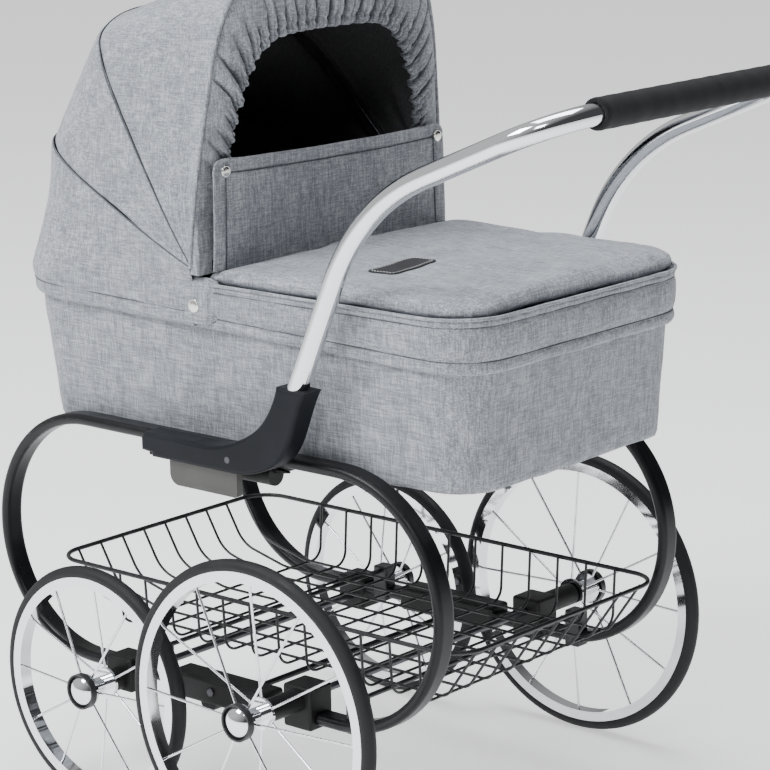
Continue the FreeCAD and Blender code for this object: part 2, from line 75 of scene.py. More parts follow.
world = bpy.context.scene.world or bpy.data.worlds.new("studio")
bpy.context.scene.world = world
world.use_nodes = True
sky = world.node_tree.nodes.get("Background")
directions = world.node_tree.nodes.new("ShaderNodeTexCoord")
toward = world.node_tree.nodes.new("ShaderNodeVectorMath")
toward.operation = "DOT_PRODUCT"
toward.inputs[1].default_value = (-0.70, -0.30, 0.65)
fade = world.node_tree.nodes.new("ShaderNodeValToRGB")
fade.color_ramp.elements[0].position = 0.0
fade.color_ramp.elements[0].color = (0.10, 0.102, 0.108, 1)
fade.color_ramp.elements[1].position = 0.8
fade.color_ramp.elements[1].color = (1, 1, 1, 1)
world.node_tree.links.new(directions.outputs["Generated"], toward.inputs[0])
world.node_tree.links.new(toward.outputs["Value"], fade.inputs[0])
world.node_tree.links.new(fade.outputs[0], sky.inputs[0])
sky.inputs[1].default_value = 0.62

for name, place, size, power in (
    ("key_light", (-0.9, -2.1, 2.6), 1.3, 88),
    ("top_light", (-0.2, 0.2, 3.0), 1.8, 70),
    ("rear_light", (1.2, -2.4, 2.4), 0.8, 21),
):
    bpy.ops.object.light_add(type="AREA", location=place)
    lamp = bpy.context.object
    lamp.name = name
    lamp.data.size = size
    lamp.data.energy = power
    lamp.data.color = (0.94, 0.97, 1.0)
    lamp.rotation_euler = (look_at - Vector(place)).to_track_quat("-Z", "Y").to_euler()

# ---------------------------------------------------------------- Side loops, cross rod and axles
# Flat oval steel tube bent into a long loop on each side and sprayed satin black, with the plain steel axles
# and cross rods that join the two sides. The paint shows a faint orange peel and random patches of slightly
# different tone and shine.


def finish(name, colour, roughness, metallic=0.0):
    """A node material with one even colour, ready for its own pattern. Returns it with its shader."""
    material = bpy.data.materials.new(name)
    material.use_nodes = True
    shader = material.node_tree.nodes["Principled BSDF"]
    shader.inputs["Base Color"].default_value = (*colour, 1)
    shader.inputs["Roughness"].default_value = roughness
    shader.inputs["Metallic"].default_value = metallic
    return material, shader


def grain(material, scale, detail=2.0, stretch=(1, 1, 1)):
    """Noise in object space, stretched along an axis when asked. Returns its factor output."""
    nodes, links = material.node_tree.nodes, material.node_tree.links
    place = nodes.new("ShaderNodeTexCoord")
    mapping = nodes.new("ShaderNodeMapping")
    mapping.inputs["Scale"].default_value = stretch
    noise = nodes.new("ShaderNodeTexNoise")
    noise.inputs["Scale"].default_value = scale
    noise.inputs["Detail"].default_value = detail
    links.new(place.outputs["Object"], mapping.inputs[0])
    links.new(mapping.outputs[0], noise.inputs["Vector"])
    return noise.outputs["Fac"]


def spread(material, source, low, high, low_value, high_value):
    """Map a pattern's range onto a range of values."""
    remap = material.node_tree.nodes.new("ShaderNodeMapRange")
    for socket, value in zip(("From Min", "From Max", "To Min", "To Max"), (low, high, low_value, high_value)):
        remap.inputs[socket].default_value = value
    material.node_tree.links.new(source, remap.inputs["Value"])
    return remap.outputs[0]


def bump(material, shader, source, strength, depth):
    node = material.node_tree.nodes.new("ShaderNodeBump")
    node.inputs["Strength"].default_value = strength
    node.inputs["Distance"].default_value = depth
    material.node_tree.links.new(source, node.inputs["Height"])
    material.node_tree.links.new(node.outputs[0], shader.inputs["Normal"])


def shades(material, shader, source, *stops):
    """Colour the shader by a pattern through stops of (position, colour)."""
    ramp = material.node_tree.nodes.new("ShaderNodeValToRGB")
    while len(ramp.color_ramp.elements) < len(stops):
        ramp.color_ramp.elements.new(0.5)
    for element, (position, colour) in zip(ramp.color_ramp.elements, stops):
        element.position = position
        element.color = (*colour, 1)
    material.node_tree.links.new(source, ramp.inputs[0])
    material.node_tree.links.new(ramp.outputs[0], shader.inputs["Base Color"])


def coat_node(material, *nodes):
    """Give carried-over parts their finish."""
    for node in nodes:
        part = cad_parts[node]
        part.data.materials.clear()
        part.data.materials.append(material)


satin_black, shader = finish("satin_black_paint", (0.012, 0.012, 0.014), 0.32)
shader.inputs["Coat Weight"].default_value = 0.12
shader.inputs["Specular IOR Level"].default_value = 0.2
shader.inputs["Coat Roughness"].default_value = 0.25
patches = grain(satin_black, 38, 4)
shades(satin_black, shader, patches, (0.35, (0.005, 0.005, 0.006)), (0.7, (0.010, 0.010, 0.011)))
satin_black.node_tree.links.new(spread(satin_black, patches, 0.3, 0.7, 0.27, 0.42), shader.inputs["Roughness"])
bump(satin_black, shader, grain(satin_black, 900, 2), 0.12, 0.0004)
coat_node(satin_black, "side_loop_left", "side_loop_right", "lower_crossbar", "cot_supports")

dark_steel, shader = finish("dark_axle_steel", (0.10, 0.10, 0.11), 0.38, 1.0)
turned_lines = grain(dark_steel, 60, 3, (8, 1, 8))
turned_shine = spread(dark_steel, turned_lines, 0.3, 0.7, 0.30, 0.5)
dark_steel.node_tree.links.new(turned_shine, shader.inputs["Roughness"])
bump(dark_steel, shader, turned_lines, 0.1, 0.0002)
coat_node(dark_steel, "axles", "sleeve_screws", "handle_pins", "hood_pivots")

# ---------------------------------------------------------------- Axle blocks, bushes, sleeves and cot mounts
# Injection-moulded black plastic with a fine spark-eroded grain: it is a little duller and browner than the
# paint beside it and picks up pale dust in random patches.
black_plastic, shader = finish("black_moulded_plastic", (0.018, 0.018, 0.019), 0.5)
shader.inputs["Specular IOR Level"].default_value = 0.25
dust = grain(black_plastic, 30, 5)
shades(black_plastic, shader, dust, (0.35, (0.006, 0.006, 0.006)), (0.75, (0.013, 0.0125, 0.012)))
black_plastic.node_tree.links.new(spread(black_plastic, dust, 0.3, 0.7, 0.42, 0.6), shader.inputs["Roughness"])
bump(black_plastic, shader, grain(black_plastic, 1600, 3), 0.25, 0.0002)
coat_node(black_plastic, "axle_blocks_front", "axle_blocks_rear", "axle_bushes", "lower_sleeves", "cot_mounts")

# ---------------------------------------------------------------- Basket
# Steel wire welded into an open tray and dipped in black plastic, so every crossing carries a slight fillet
# of coating and the wire has a soft, even shine.
dipped_wire, shader = finish("dipped_black_wire", (0.014, 0.014, 0.016), 0.36)
drips = grain(dipped_wire, 120, 3)
dipped_wire.node_tree.links.new(spread(dipped_wire, drips, 0.3, 0.7, 0.28, 0.46), shader.inputs["Roughness"])
shades(dipped_wire, shader, drips, (0.3, (0.005, 0.005, 0.006)), (0.8, (0.011, 0.011, 0.012)))
bump(dipped_wire, shader, drips, 0.2, 0.0004)
coat_node(dipped_wire, "basket_rim", "basket_long_wires", "basket_cross_wires", "basket_bearers")

# ---------------------------------------------------------------- Wheels
# Solid rubber tyres on chrome-plated steel rims, laced with plain wire spokes to a chrome hub. A domed chrome
# cap sits in a soft black ring and hides the axle's end.
wheels = [end + "_" + side for end in ("front", "rear") for side in ("left", "right")]
rubber, shader = finish("tyre_rubber", (0.013, 0.0135, 0.015), 0.62)
shader.inputs["Specular IOR Level"].default_value = 0.3
scuffs = grain(rubber, 55, 6)
shades(
    rubber, shader, scuffs,
    (0.3, (0.009, 0.0095, 0.0105)), (0.62, (0.015, 0.0155, 0.017)), (0.8, (0.026, 0.026, 0.027)),
)
rubber.node_tree.links.new(spread(rubber, scuffs, 0.3, 0.7, 0.5, 0.72), shader.inputs["Roughness"])
bump(rubber, shader, grain(rubber, 1200, 2), 0.15, 0.0003)

chrome, shader = finish("bright_chrome", (0.86, 0.87, 0.89), 0.07, 1.0)
smudges = grain(chrome, 26, 4)
chrome.node_tree.links.new(spread(chrome, smudges, 0.35, 0.75, 0.04, 0.13), shader.inputs["Roughness"])
bump(chrome, shader, smudges, 0.03, 0.0004)

ring_rubber, shader = finish("cap_ring_rubber", (0.012, 0.012, 0.013), 0.4)
bump(ring_rubber, shader, grain(ring_rubber, 900, 2), 0.1, 0.0002)
ring_bloom = grain(ring_rubber, 90, 2)
shades(ring_rubber, shader, ring_bloom, (0.3, (0.010, 0.010, 0.011)), (0.7, (0.018, 0.018, 0.019)))
for wheel in wheels:
    coat_node(rubber, "tyre_" + wheel)
    coat_node(chrome, "rim_" + wheel, "spokes_" + wheel, "hub_" + wheel)
    coat_node(ring_rubber, "cap_ring_" + wheel)

# ---------------------------------------------------------------- Handle, grip, elbows and release plates
# One length of chromed tube bent into a U. A moulded charcoal elbow holds each end, with a warm grey release
# plate under it, and closed-cell foam covers the crossbar.
coat_node(chrome, "handle_tube")

foam, shader = finish("charcoal_foam", (0.012, 0.012, 0.013), 0.85)
cells = grain(foam, 1400, 3)
shades(foam, shader, grain(foam, 70, 4), (0.3, (0.009, 0.009, 0.010)), (0.75, (0.017, 0.017, 0.018)))
bump(foam, shader, cells, 0.5, 0.0005)
shader.inputs["Specular IOR Level"].default_value = 0.2
shader.inputs["Sheen Weight"].default_value = 0.06
shader.inputs["Sheen Roughness"].default_value = 0.5

charcoal, shader = finish("charcoal_moulding", (0.011, 0.012, 0.015), 0.52)
shader.inputs["Specular IOR Level"].default_value = 0.12
flow = grain(charcoal, 24, 4)
shades(charcoal, shader, flow, (0.3, (0.008, 0.009, 0.011)), (0.75, (0.015, 0.016, 0.020)))
charcoal.node_tree.links.new(spread(charcoal, flow, 0.3, 0.7, 0.4, 0.54), shader.inputs["Roughness"])
bump(charcoal, shader, grain(charcoal, 1500, 2), 0.2, 0.0002)
coat_node(charcoal, "handle_elbow_left", "handle_elbow_right")

warm_grey, shader = finish("warm_grey_plate", (0.062, 0.061, 0.056), 0.5)
flow = grain(warm_grey, 32, 4)
shades(warm_grey, shader, flow, (0.3, (0.054, 0.053, 0.048)), (0.75, (0.075, 0.074, 0.068)))
bump(warm_grey, shader, grain(warm_grey, 1500, 2), 0.2, 0.0002)
coat_node(warm_grey, "release_plate_left", "release_plate_right")

# ---------------------------------------------------------------- Cot body
# A linen-look polyester melange wraps a stiffened tub: light and dark yarns cross at random lengths, so the
# cloth shows slubs both ways. It is pulled over the rounded corners and ripples a little between them.


def at(x, y, z):
    """Millimetres from the floor, midway between the axles, as a place in the shared frame."""
    return Vector((x - 61.6, y, z)) / 1000


def linen(name, dark, middle, light, seed, crease_shading=False):
    """Melange cloth: long slubs along each axis over a fine plain weave; when asked, painted shade darkens it
    in any marked creases.
    """
    material, shader = finish(name, middle, 0.9)
    nodes, links = material.node_tree.nodes, material.node_tree.links
    mixed = None
    for number, (scale, stretch, share) in enumerate((
        (1000, (0.07, 1, 1), 0.42), (1000, (1, 0.07, 1), 0.36), (1000, (1, 1, 0.07), 0.44),
        (330, (1, 1, 0.14), 0.20), (330, (0.14, 1, 1), 0.18), (45, (1, 1, 1), 0.16),
    )):
        fac = grain(material, scale, 3, stretch)
        fac.node.noise_dimensions = "4D"
        fac.node.inputs["W"].default_value = seed + number
        part = spread(material, fac, 0.28, 0.72, -share, share)
        if mixed is None:
            mixed = part
        else:
            add = nodes.new("ShaderNodeMath")
            links.new(mixed, add.inputs[0])
            links.new(part, add.inputs[1])
            mixed = add.outputs[0]
    tone = spread(material, mixed, -0.75, 0.75, 0.0, 1.0)
    shades(material, shader, tone, (0.15, dark), (0.5, middle), (0.85, light))
    if crease_shading:
        # Painted shade: the crease attribute multiplies the cloth's colour towards dark grey in the pleat
        # valleys, where shade falls.
        depth = nodes.new("ShaderNodeAttribute")
        depth.attribute_name = "crease"
        painted_crease_shade = nodes.new("ShaderNodeMix")
        painted_crease_shade.data_type = "RGBA"
        painted_crease_shade.blend_type = "MULTIPLY"
        painted_crease_shade.inputs[7].default_value = (0.16, 0.165, 0.175, 1)
        colour = shader.inputs["Base Color"].links[0].from_socket
        links.new(depth.outputs["Fac"], painted_crease_shade.inputs[0])
        links.new(colour, painted_crease_shade.inputs[6])
        links.new(painted_crease_shade.outputs[2], shader.inputs["Base Color"])
    weave = None
    place = nodes.new("ShaderNodeTexCoord")
    for axis in ("X", "Y", "Z"):
        wave = nodes.new("ShaderNodeTexWave")
        wave.wave_type = "BANDS"
        wave.bands_direction = axis
        wave.inputs["Scale"].default_value = 330
        wave.inputs["Distortion"].default_value = 1.2
        wave.inputs["Detail"].default_value = 1
        links.new(place.outputs["Object"], wave.inputs["Vector"])
        if weave is None:
            weave = wave.outputs["Fac"]
        else:
            add = nodes.new("ShaderNodeMath")
            links.new(weave, add.inputs[0])
            links.new(wave.outputs["Fac"], add.inputs[1])
            weave = add.outputs[0]
    height = nodes.new("ShaderNodeMath")
    height.operation = "MULTIPLY_ADD"
    height.inputs[1].default_value = 0.5
    links.new(weave, height.inputs[0])
    links.new(mixed, height.inputs[2])
    bump(material, shader, height.outputs[0], 0.35, 0.0004)
    shader.inputs["Sheen Weight"].default_value = 0.22
    shader.inputs["Sheen Roughness"].default_value = 0.45
    shader.inputs["Sheen Tint"].default_value = (0.9, 0.92, 1, 1)
    return material


def edit(piece):
    bpy.ops.object.select_all(action="DESELECT")
    bpy.context.view_layer.objects.active = piece
    piece.select_set(True)
    bpy.ops.object.mode_set(mode="EDIT")
    bpy.ops.mesh.select_all(action="SELECT")


def done():
    bpy.ops.object.mode_set(mode="OBJECT")


def add_modifier(piece, kind, **values):
    """Add a modifier, set it and apply it."""
    bpy.ops.object.select_all(action="DESELECT")
    bpy.context.view_layer.objects.active = piece
    piece.select_set(True)
    modifier = piece.modifiers.new(kind.lower(), kind)
    for key, value in values.items():
        setattr(modifier, key, value)
    bpy.ops.object.modifier_apply(modifier=modifier.name)


def ripple(piece, size, strength, kind="CLOUDS"):
    """Soft folds: push the surface along its normals by a smooth pattern that is wide for its depth."""
    texture = bpy.data.textures.new(piece.name + "_ripple", kind)
    texture.noise_scale = size
    texture.noise_depth = 1
    add_modifier(piece, "DISPLACE", texture=texture, strength=strength, mid_level=0.5, texture_coords="LOCAL")


def smooth(piece):
    bpy.ops.object.select_all(action="DESELECT")
    bpy.context.view_layer.objects.active = piece
    piece.select_set(True)
    bpy.ops.object.shade_smooth()


def spaced(points, count):
    """Re-space points evenly along their own line, keeping both ends."""
    lengths = [0.0]
    for a, b in zip(points, points[1:]):
        lengths.append(lengths[-1] + math.dist(a, b))
    result = []
    k = 0
    for number in range(count):
        wanted = lengths[-1] * number / (count - 1)
        while k < len(points) - 2 and lengths[k + 1] < wanted:
            k += 1
        share = (wanted - lengths[k]) / (lengths[k + 1] - lengths[k])
        result.append(tuple(p + (q - p) * share for p, q in zip(points[k], points[k + 1])))
    return result


def rounded_ring(x0, x1, half_width, rear_radius, z, count, front_radius=None):
    """Evenly spaced points round a rounded rectangle at one height, from the middle of its rear end."""
    line = [(x1, 0.0)]
    corners = ((x1, half_width, 0), (x0, half_width, 90), (x0, -half_width, 180), (x1, -half_width, 270))
    for cx, cy, start in corners:
        radius = rear_radius if cx == x1 else front_radius or rear_radius
        mx = cx - math.copysign(radius, cx - (x0 + x1) / 2)
        my = cy - math.copysign(radius, cy)
        for k in range(13):
            turn = math.radians(start + 7.5 * k)
            line.append((mx + radius * math.cos(turn), my + radius * math.sin(turn)))
    line.append((x1, 0.0))
    return [(x, y, z) for x, y in spaced(line, count + 1)[:-1]]


def skin(name, rings, closed=True, ends=0, looped=False):
    """A surface through rings of equally many points, bridged one to the next, with 0, 1 or 2 ends closed."""
    mesh = bpy.data.meshes.new(name)
    count = len(rings[0])
    verts = [at(*point) for ring in rings for point in ring]
    faces = []
    for row in range(len(rings) if looped else len(rings) - 1):
        for k in range(count if closed else count - 1):
            a, b = row * count + k, row * count + (k + 1) % count
            c, d = (row + 1) % len(rings) * count + (k + 1) % count, (row + 1) % len(rings) * count + k
            faces.append((a, b, c, d))
    if ends > 0:
        faces.append(tuple(reversed(range(count))))
    if ends > 1:
        faces.append(tuple(range((len(rings) - 1) * count, len(rings) * count)))
    mesh.from_pydata(verts, [], faces)
    piece = bpy.data.objects.new(name, mesh)
    bpy.context.collection.objects.link(piece)
    return piece


def face_out(piece, inside=False):
    edit(piece)
    bpy.ops.mesh.normals_make_consistent(inside=inside)
    done()


def face_rear(piece):
    """Turn an open sheet's faces over if they look away from the handle."""
    if sum(p.normal.x * p.area for p in piece.data.polygons) < 0:
        edit(piece)
        bpy.ops.mesh.flip_normals()
        done()


def set_material(piece, *materials):
    piece.data.materials.clear()
    for material in materials:
        piece.data.materials.append(material)


linen_shades = ((0.17, 0.178, 0.197), (0.275, 0.287, 0.311), (0.45, 0.462, 0.488))
grey_linen = linen("grey_linen", *linen_shades, 3.0)
rings = [
    [(25 + (x - 25) * share, y * share, 293.7) for x, y, z in rounded_ring(-190, 240, 124.5, 32, 0, 224)]
    for share in (0.25, 0.55, 0.8, 0.93, 1.0)
]
for z, grow in (
    (294.5, 1.8), (297.5, 2.6), (303, 3.0), (312, 3.6), (322, 4.2), (333, 5.0), (344, 5.7), (355, 6.4),
    (366, 7.1), (376, 7.8), (383, 8.2), (389, 8.3), (394, 8.3), (398.5, 8.2),
):
    rings.append(rounded_ring(-190 - grow * 1.9, 240 + grow * 1.05, 124.5 + grow, 32 + grow * 0.6, z, 224))
cot_body = skin("cot_body_fabric", rings, ends=1)
face_out(cot_body)
ripple(cot_body, 0.05, 0.0022)
ripple(cot_body, 0.017, 0.0006)
add_modifier(cot_body, "SOLIDIFY", thickness=0.0022, offset=-1)
smooth(cot_body)
set_material(cot_body, grey_linen)
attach(cot_body, "cot")
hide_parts("cot_tub")

# ---------------------------------------------------------------- Lip band
# The same cloth goes over the cot's rim in a padded band. Two rows of stitching pull it in, one near its
# lower edge and one just under the top, and the lower edge is turned under.


def tube(name, points, radius, material, closed=False, sides=3):
    """A thin round line of cord, piping or thread along points, as one mesh."""
    curve = bpy.data.curves.new(name, "CURVE")
    curve.dimensions = "3D"
    curve.bevel_depth = radius / 1000
    curve.bevel_resolution = sides
    curve.use_fill_caps = not closed
    spline = curve.splines.new("POLY")
    spline.points.add(len(points) - 1)
    for target, point in zip(spline.points, points):
        target.co = (*at(*point), 1)
    spline.use_cyclic_u = closed
    piece = bpy.data.objects.new(name, curve)
    bpy.context.collection.objects.link(piece)
    bpy.ops.object.select_all(action="DESELECT")
    bpy.context.view_layer.objects.active = piece
    piece.select_set(True)
    bpy.ops.object.convert(target="MESH")
    piece = bpy.context.object
    face_out(piece)
    smooth(piece)
    set_material(piece, material)
    return piece


def stitches(name, points, radius, length, gap, material):
    """Separate short stitches of thread along a line, joined into one piece."""
    total = sum(math.dist(a, b) for a, b in zip(points, points[1:]))
    count = int(total / (length + gap))
    fine = spaced(points, count * 6 + 1)
    share = max(2, round(6 * length / (length + gap)))
    parts = []
    for k in range(count):
        parts.append(tube(name, fine[k * 6:k * 6 + share + 1], radius, material, sides=1))
    bpy.ops.object.select_all(action="DESELECT")
    for part in parts:
        part.select_set(True)
    bpy.context.view_layer.objects.active = parts[0]
    bpy.ops.object.join()
    return parts[0]


thread, shader = finish("grey_thread", (0.085, 0.090, 0.102), 0.8)
bump(thread, shader, grain(thread, 1500, 2), 0.4, 0.0002)
shades(thread, shader, grain(thread, 700, 2), (0.3, (0.062, 0.066, 0.075)), (0.7, (0.12, 0.126, 0.14)))


def lip_ring(z, out, count):
    """The lip's outline: it leans out upwards, and its lower edge rises a little towards the front."""
    lean = (z - 384) / 40
    front, half_width = -214 - 5 * lean - out, 138.5 + 2.5 * lean + out
    ring = rounded_ring(front, 256 + out, half_width, 45 + out, z, count, 58 + out)
    low = max(0.0, min(1.0, (418 - z) / 24))
    return [(x, y, z + low * 10 * (256 - x) / 476) for x, y, z in ring]


rings = []
for z, out in (
    (388.0, -5.6), (385.6, -4.2), (384.4, -2.6), (384.6, -0.9), (386.4, 0.1), (389.6, 0.3),
    (392.2, -0.5), (393.4, -1.5), (394.8, -0.6), (398.5, 0.5), (404, 1.0), (410, 0.9), (415, 0.3),
    (418.0, -0.5), (419.0, -1.3), (420.2, -0.5), (422.4, 0.0), (424.0, -0.7), (424.6, -2.2),
    (424.7, -4.5), (424.0, -7.5), (420, -9.0), (408, -9.6), (398, -9.8), (391, -8.2),
):
    rings.append(lip_ring(z, out - 0.6, 300))
lip_band = skin("lip_band", rings, looped=True)
face_out(lip_band)
ripple(lip_band, 0.035, 0.0016)
ripple(lip_band, 0.011, 0.0005)
smooth(lip_band)
set_material(lip_band, grey_linen)
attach(lip_band, "cot")
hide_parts("cot_band")
for label, z, out in (("lower", 393.4, -1.2), ("upper", 419.0, -1.0)):
    seam = tube("lip_seam_" + label, lip_ring(z, out - 0.6, 280), 0.45, thread, closed=True, sides=1)
    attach(seam, "cot")

# ---------------------------------------------------------------- Foam grip
# A sleeve of closed-cell foam pushed over the straight of the crossbar, up to the two bends. Its ends are cut
# square with a slightly crushed rim, and hands have left it faintly uneven along its length.
grip_centre = (345.0, 577.0)
grip_half, grip_radius, grip_bore = 112.0, 11.5, 8.2
profile = [(-1.0, grip_bore), (-1.0, grip_radius - 1.0), (-0.993, grip_radius - 0.3), (-0.97, grip_radius)]
profile += [(n / 20 * 0.95, grip_radius - 0.12 + 0.12 * math.sin(n * 1.7)) for n in range(-20, 21)]
profile += [(-along, radius) for along, radius in reversed(profile[:4])]
rings = []
for along, radius in profile:
    rings.append([(
        grip_centre[0] + radius * math.cos(2 * math.pi * k / 72), along * grip_half,
        grip_centre[1] + radius * math.sin(2 * math.pi * k / 72),
    ) for k in range(72)])
grip = skin("foam_sleeve", rings, looped=True)
face_out(grip)
smooth(grip)
set_material(grip, foam)
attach(grip, "handle")
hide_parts("foam_grip")

# ---------------------------------------------------------------- Padded cover
# A thinly padded cover buttons over the rear half of the cot. Its cloth is loose enough to lie in broad soft
# wrinkles, and a piped edge runs round it where it meets the lip band.


def cushion(piece, voxel, pressure, cap, frames=20):
    """Fill a closed soft shape: a cloth simulation under pressure, held to a small movement."""
    start = piece.copy()
    start.data = piece.data.copy()
    bpy.context.collection.objects.link(start)
    add_modifier(start, "REMESH", mode="VOXEL", voxel_size=voxel)
    rest = [v.co.copy() for v in start.data.vertices]
    cloth = start.modifiers.new("filling", "CLOTH")
    cloth.settings.use_pressure = True
    cloth.settings.uniform_pressure_force = pressure
    cloth.settings.effector_weights.gravity = 0
    cloth.settings.quality = 6
    for number in range(1, frames + 1):
        bpy.context.scene.frame_set(number)
    bpy.ops.object.select_all(action="DESELECT")
    bpy.context.view_layer.objects.active = start
    start.select_set(True)
    bpy.ops.object.modifier_apply(modifier=cloth.name)
    bpy.context.scene.frame_set(1)
    for vertex, before in zip(start.data.vertices, rest):
        step = vertex.co - before
        if step.length > cap:
            vertex.co = before + step * (cap / step.length)
    add_modifier(start, "SUBSURF", levels=1, render_levels=1)
    name = piece.name
    bpy.data.objects.remove(piece)
    start.name = name
    return start


def cover_height(x, y):
    """The cover's top: crowned in the middle, low along the hood, with a few broad slack folds."""
    along = max(0.0, min(1.0, (x - 1) / 249))
    across = min(1.0, abs(y) / 136)
    crown = 3.2 * (1 - across ** 2.4) * math.sin(math.pi * min(1, 0.12 + 0.88 * along)) ** 0.6
    dip = 5.0 * math.exp(-((x - 3) / 14) ** 2)
    slack = 0.9 * math.sin(x / 17 + y / 23) + 0.8 * math.sin(x / 29 - y / 14 + 1.3)
    slack += 0.5 * math.sin(x / 9 + y / 31 + 0.4)
    return 435.2 + crown - dip + slack * (1 - across ** 4)


def cover_ring(out, count):
    """The cover's edge: round corners at the rear, nearly square ones where it goes in under the hood."""
    ring = []
    for x, y, z in rounded_ring(-2.5, 252 + out, 137.5 + out, 38 + out, 0, count):
        square = max(0.0, min(1.0, (40 - x) / 30))
        if abs(y) > 40:
            y = math.copysign(abs(y) + (137.5 + out - abs(y)) * square * 0.96, y)
        ring.append((x, y, 0.0))
    return ring


rings = []
for share in (0.2, 0.4, 0.6, 0.75, 0.87, 0.94, 0.985):
    ring = []
    for x, y, z in cover_ring(0, 260):
        px, py = 128 + (x - 128) * share, y * share
        ring.append((px, py, cover_height(px, py)))
    rings.append(ring)
for z, out in ((433.5, 0.6), (430.0, 2.0), (427.2, 2.6), (425.4, 1.2), (424.9, -3)):
    drop = max(0.0, z - 425.4) / 9.8 * 4.5
    rings.append([(x, y, z - drop * math.exp(-((x - 3) / 14) ** 2)) for x, y, flat in cover_ring(out, 260)])
for share in (0.8, 0.5, 0.2):
    rings.append([(128 + (x - 128) * share, y * share, 425.2) for x, y, z in cover_ring(-3, 260)])
cover = skin("cot_cover_padded", rings, ends=2)
face_out(cover)
cover = cushion(cover, 0.0042, 3.0, 0.003)
ripple(cover, 0.03, 0.0016)
smooth(cover)
set_material(cover, grey_linen)
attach(cover, "cot")
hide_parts("cot_cover")
line = [p for p in rounded_ring(-219, 255.6, 140.6, 45.6, 425.2, 320) if p[0] > 8]
line.sort(key=lambda p: math.atan2(p[1], p[0] - 8.0))
piping = tube("cover_piping", line, 1.35, grey_linen)
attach(piping, "cot")

# ---------------------------------------------------------------- Cover label
# A black leather-look patch sewn flat on the cover with one row of pale stitches. It carries no mark.
patch, shader = finish("black_patch", (0.016, 0.016, 0.018), 0.55)
hide = grain(patch, 700, 4)
shades(patch, shader, grain(patch, 60, 3), (0.3, (0.012, 0.012, 0.013)), (0.75, (0.026, 0.026, 0.028)))
bump(patch, shader, hide, 0.5, 0.0004)
pale_thread, shader = finish("pale_thread", (0.55, 0.55, 0.53), 0.8)
bump(pale_thread, shader, grain(pale_thread, 1500, 2), 0.4, 0.0002)
shades(pale_thread, shader, grain(pale_thread, 800, 2), (0.3, (0.45, 0.45, 0.44)), (0.7, (0.62, 0.62, 0.60)))


cover_surface = BVHTree.FromObject(cover, bpy.context.evaluated_depsgraph_get())


def patch_ring(half_x, half_y, radius, lift, count=64):
    """A rounded oblong that lies on the finished cover, raised by its lift."""
    ring = []
    for x, y, z in rounded_ring(129 - half_x, 129 + half_x, half_y, radius, 0, count):
        place = cover_surface.ray_cast(at(x, y - 61.0, 470), Vector((0, 0, -1)))[0]
        ring.append((x, y - 61.0, place.z * 1000 + lift))
    return ring


rings = [patch_ring(12.9 * s, 25.4 * s, 4.2 * s, 1.0) for s in (0.2, 0.45, 0.7, 0.9, 0.97)]
rings += [patch_ring(13.3, 25.8, 4.4, 0.9), patch_ring(13.5, 26.0, 4.5, 0.6), patch_ring(13.4, 25.9, 4.4, 0.2)]
rings += [patch_ring(13.0 * s, 25.5 * s, 4.2 * s, 0.1) for s in (0.9, 0.5, 0.2)]
label = skin("cover_patch", rings, ends=2)
face_out(label)
smooth(label)
set_material(label, patch)
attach(label, "cot")
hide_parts("cover_label")
border = patch_ring(11.2, 23.6, 3.2, 1.15, 160)
label_stitches = stitches("label_stitches", border + border[:1], 0.28, 2.0, 0.9, pale_thread)
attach(label_stitches, "cot")

# ---------------------------------------------------------------- Mattress and board
# A thin foam mattress in the same dark lining cloth lies on a fibreboard base inside the tub.
# The lining's base colour is a dark grey, lighter than the black cloth. This is painted light, standing in for
# light that does not reach inside the hood and window.
lining, shader = finish("black_lining", (0.088, 0.088, 0.091), 0.85)
shades(lining, shader, grain(lining, 500, 3), (0.3, (0.070, 0.070, 0.073)), (0.7, (0.105, 0.104, 0.108)))
bump(lining, shader, grain(lining, 1300, 2), 0.3, 0.0003)
board, shader = finish("fibreboard", (0.16, 0.11, 0.065), 0.75)
fibres = grain(board, 260, 5, (1, 1, 0.3))
shades(board, shader, fibres, (0.3, (0.11, 0.075, 0.045)), (0.72, (0.24, 0.17, 0.105)))
bump(board, shader, fibres, 0.3, 0.0004)
coat_node(board, "base_board")

rings = []
for share in (0.2, 0.4, 0.6, 0.8, 0.93):
    rings.append([(25 + (x - 25) * share, y * share, 331 - 2.5 * share ** 4)
                  for x, y, z in rounded_ring(-183, 233, 117, 28, 0, 200)])
for z, out in ((326.5, -0.5), (322, 0.6), (318, 0.8), (314, 0.6), (308, 0.3), (304, -1.0), (302.4, -5)):
    rings.append(rounded_ring(-183 - out, 233 + out, 117 + out, 28 + out, z, 200))
for share in (0.8, 0.5, 0.2):
    underside = rounded_ring(-178, 228, 112, 26, 0, 200)
    rings.append([(25 + (x - 25) * share, y * share, 302.2) for x, y, z in underside])
mattress = skin("mattress_pad", rings, ends=2)
face_out(mattress)
ripple(mattress, 0.05, 0.002)
smooth(mattress)
set_material(mattress, lining)
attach(mattress, "cot")
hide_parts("mattress")

# ---------------------------------------------------------------- Hood fabric
# Three gores of the linen, lined in black, are stretched over the bows and run down to the pivots. Each lies
# flat like a chord from bow to bow, creases slightly at the seams and slackens towards the pivots.
LAYERS = {"low": 0.0, "middle": 0.9, "arch": 1.8}


def curve_through(points, parts=10):
    """A smooth line through points."""
    padded = [points[0]] + list(points) + [points[-1]]
    line = []
    for a, b, c, d in zip(padded, padded[1:], padded[2:], padded[3:]):
        for k in range(parts):
            t = k / parts
            line.append(tuple(
                0.5 * (
                    2 * q + (r - p) * t + (2 * p - 5 * q + 4 * r - s) * t * t + (3 * q - p - 3 * r + s) * t ** 3
                )
                for p, q, r, s in zip(a, b, c, d)
            ))
    line.append(tuple(points[-1]))
    return line


